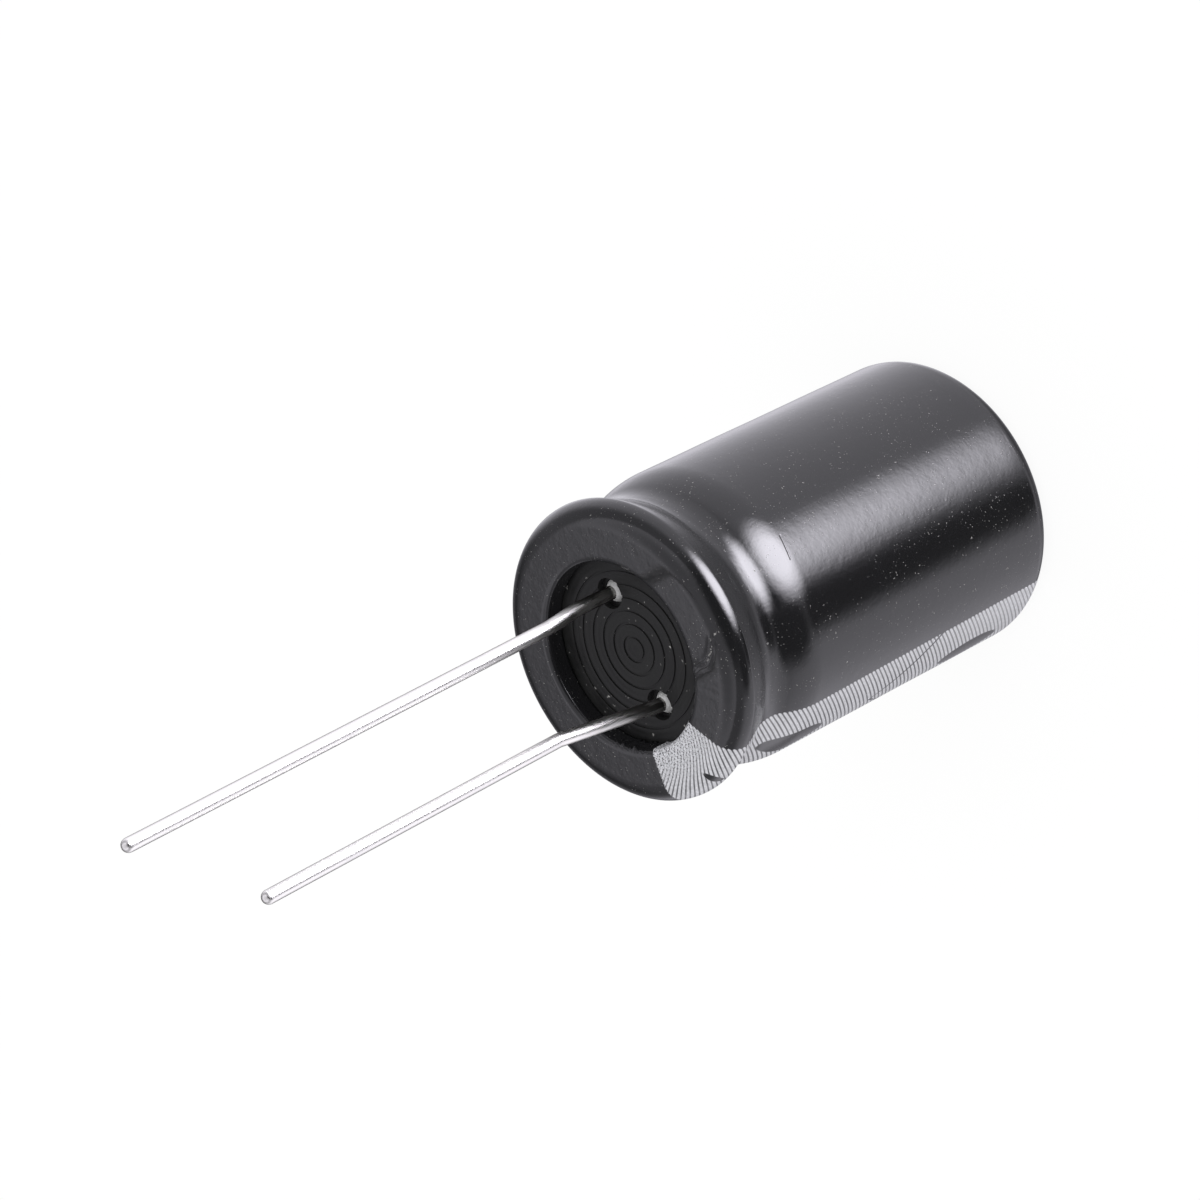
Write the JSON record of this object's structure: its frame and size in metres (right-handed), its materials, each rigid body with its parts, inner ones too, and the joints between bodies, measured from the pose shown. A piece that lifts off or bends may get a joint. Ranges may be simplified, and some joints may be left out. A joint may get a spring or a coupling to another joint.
{
  "type": "electrolytic capacitor",
  "caption": "Radial electrolytic capacitor: sleeved round can with a beaded rim, closed by a rubber bung, with a long and a short wire lead for a circuit board.",
  "frame": {"origin": "centre of the closed end, on the face it stands on", "axes": "+Z along the leads, away from the closed end; the leads lie along X, anode at -X and cathode at +X"},
  "size_m": [0.0132, 0.0132, 0.0459],
  "materials": {
    "sleeve_film": "glossy black shrink film with a silver-grey stripe",
    "can_aluminium": "drawn, bright",
    "bung_rubber": "moulded, matt",
    "tinned_wire": "bright tinned",
    "tab_aluminium": "satin",
    "winding_paper": "foil and paper edges, damp",
    "tape_film": "matt tape"
  },
  "bodies": {
    "root": {"sleeve": "sleeve_film", "can": "can_aluminium", "rubber_bung": "bung_rubber", "anode_wire": "tinned_wire", "cathode_wire": "tinned_wire", "anode_tab": "tab_aluminium", "cathode_tab": "tab_aluminium", "wound_element": "winding_paper", "winding_tape": "tape_film"}
  },
  "joints": []
}
